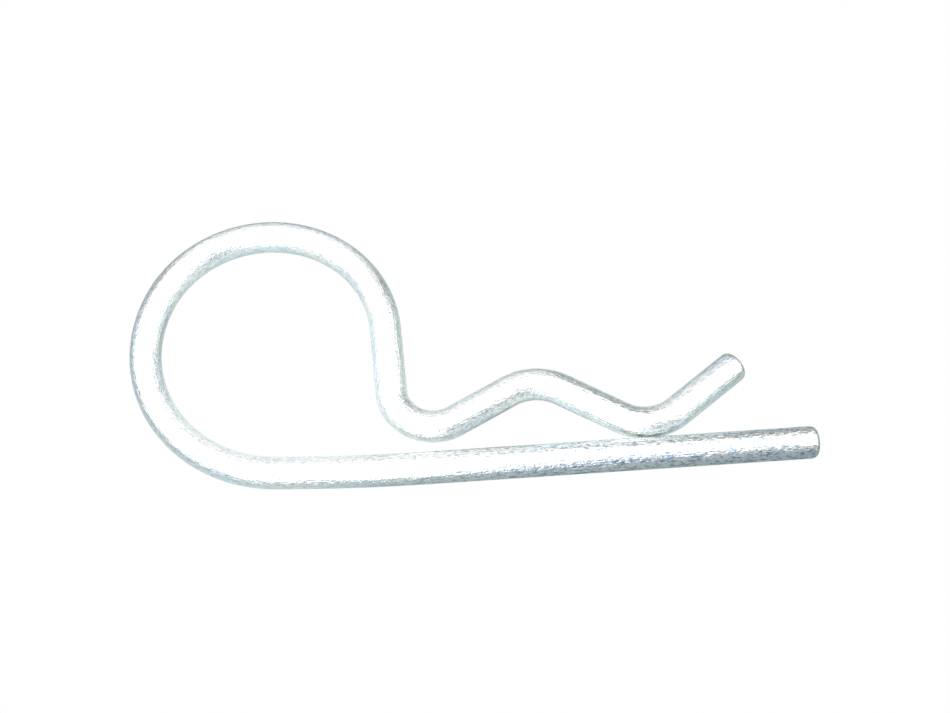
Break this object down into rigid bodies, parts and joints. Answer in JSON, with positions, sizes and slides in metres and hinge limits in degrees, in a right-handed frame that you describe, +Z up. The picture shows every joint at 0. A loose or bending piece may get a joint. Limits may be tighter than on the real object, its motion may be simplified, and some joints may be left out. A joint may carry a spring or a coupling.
{
  "type": "hairpin cotter pin",
  "caption": "Round steel wire bent flat into a straight leg, a round loop and a wavy spring arm that closes over a shaft.",
  "frame": {"origin": "middle of the clip's bounding box, on the surface that the clip lies on", "axes": "+X along the straight leg to its free end, +Y from the leg across the spring arm to the top of the loop, +Z up, out of the clip's plane"},
  "size_m": [0.0952, 0.0426, 0.0045],
  "materials": {
    "zinc_plate": "bright zinc plate over drawn spring wire, blue-white, with fine streaks along the wire"
  },
  "bodies": {
    "root": {"hairpin_cotter": "zinc_plate"}
  },
  "joints": []
}
